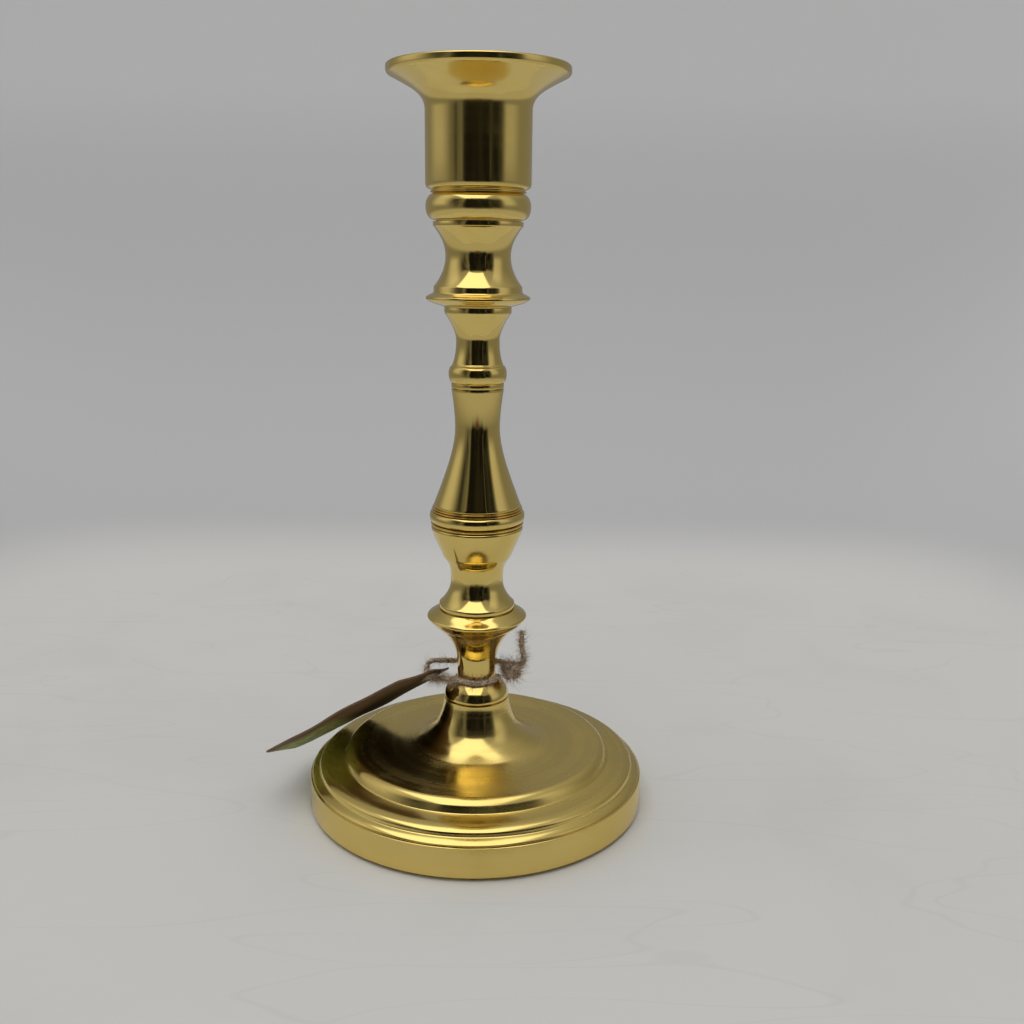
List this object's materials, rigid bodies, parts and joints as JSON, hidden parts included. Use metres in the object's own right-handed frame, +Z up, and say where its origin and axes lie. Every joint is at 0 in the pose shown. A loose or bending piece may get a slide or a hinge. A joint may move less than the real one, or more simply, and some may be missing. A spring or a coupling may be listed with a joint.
{
  "type": "candlestick",
  "caption": "Turned metal candlestick with a stepped round base, baluster stem and wide-lipped candle cup, and a card tag tied round its neck.",
  "frame": {"origin": "centre of the circle that the base stands on", "axes": "+Z up along the turning axis, -Y towards the front, the tag lies towards -X"},
  "size_m": [0.1014, 0.0908, 0.19],
  "materials": {
    "polished_brass": "polished and lacquered, with fine lathe marks",
    "plated_steel": "zinc plated",
    "kraft_card": "matt paperboard, stained brown above and olive green below",
    "jute_twine": "rough twisted jute"
  },
  "bodies": {
    "candlestick": {"candle_cup": "polished_brass", "upper_knop": "polished_brass", "throat": "polished_brass", "baluster": "polished_brass", "lower_bulb": "polished_brass", "saucer_neck": "polished_brass", "collar": "polished_brass", "base": "polished_brass", "tie_rod": "plated_steel", "flat_washer": "plated_steel", "spring_washer": "plated_steel", "hex_nut": "plated_steel"},
    "twine": {"twine": "jute_twine", "twine_knot": "jute_twine"},
    "tag": {"hang_tag": "kraft_card"}
  },
  "joints": [
    {"name": "twine_turn", "type": "hinge", "parent": "candlestick", "child": "twine", "pos_m": [0, 0, 0.036], "axis": [0, 0, 1], "continuous": true},
    {"name": "tag_swing", "type": "hinge", "parent": "twine", "child": "tag", "pos_m": [-0.01343, 0.00052, 0.03476], "axis": [0.2517, 0.9118, -0.3245], "range_deg": [0, 100], "deforming": ["twine"]}
  ]
}
